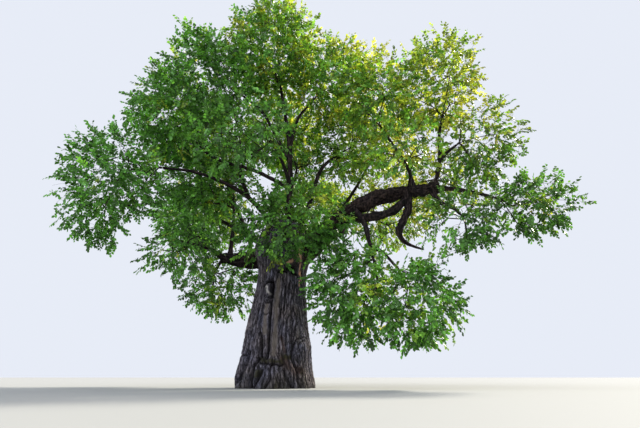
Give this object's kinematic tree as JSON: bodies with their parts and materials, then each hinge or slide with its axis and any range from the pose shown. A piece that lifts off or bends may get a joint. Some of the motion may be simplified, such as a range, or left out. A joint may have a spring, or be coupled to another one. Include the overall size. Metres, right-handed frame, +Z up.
{
  "type": "elm tree",
  "caption": "Very old broadleaf tree in full summer leaf: a short, stout, furrowed trunk with a flared foot, crooked boughs and a wide, airy crown.",
  "frame": {"origin": "middle of the flat cut under the trunk, at ground level", "axes": "+Z up along the trunk, +X towards the long gnarled limb, to the right of a viewer who looks along +Y"},
  "size_m": [14.7228, 10.5479, 12.6821],
  "materials": {
    "bark": "deeply ridged grey-brown bark, matt, with moss at the foot",
    "leaves": "fresh green leaves, a soft sheen above, light shining through"
  },
  "bodies": {
    "root": {"trunk": "bark", "leader": "bark", "leader_right": "bark", "leader_left": "bark", "left_high": "bark", "left_diagonal": "bark", "left_front": "bark", "centre": "bark", "left_stub": "bark", "left_stub_shoot": "bark", "left_low": "bark", "left_weeping": "bark", "right_limb": "bark", "right_limb_strand": "bark", "right_far": "bark", "right_front": "bark", "right_low": "bark", "right_up": "bark", "right_side": "bark", "right_back": "bark", "right_inner": "bark", "right_upright": "bark", "hook_upper": "bark", "hook_lower": "bark", "right_weeping": "bark", "right_weeping_tip": "bark", "front_spur": "bark", "back_left": "bark", "back_left_high": "bark", "back_middle": "bark", "back_high": "bark", "back_right": "bark", "back_right_high": "bark", "top_leaves": "leaves", "top_right_leaves": "leaves", "top_left_leaves": "leaves", "left_high_leaves": "leaves", "left_tip_leaves": "leaves", "left_front_leaves": "leaves", "centre_leaves": "leaves", "left_inner_leaves": "leaves", "left_low_leaves": "leaves", "left_weeping_leaves": "leaves", "right_tip_leaves": "leaves", "right_front_leaves": "leaves", "right_hanging_leaves": "leaves", "right_top_leaves": "leaves", "right_side_leaves": "leaves", "right_back_leaves": "leaves", "right_inner_leaves": "leaves", "middle_leaves": "leaves", "right_weeping_leaves": "leaves", "right_weeping_tip_leaves": "leaves", "front_leaves": "leaves", "back_left_leaves": "leaves", "back_left_high_leaves": "leaves", "back_middle_leaves": "leaves", "back_high_leaves": "leaves", "back_right_leaves": "leaves", "back_right_high_leaves": "leaves"}
  },
  "joints": []
}
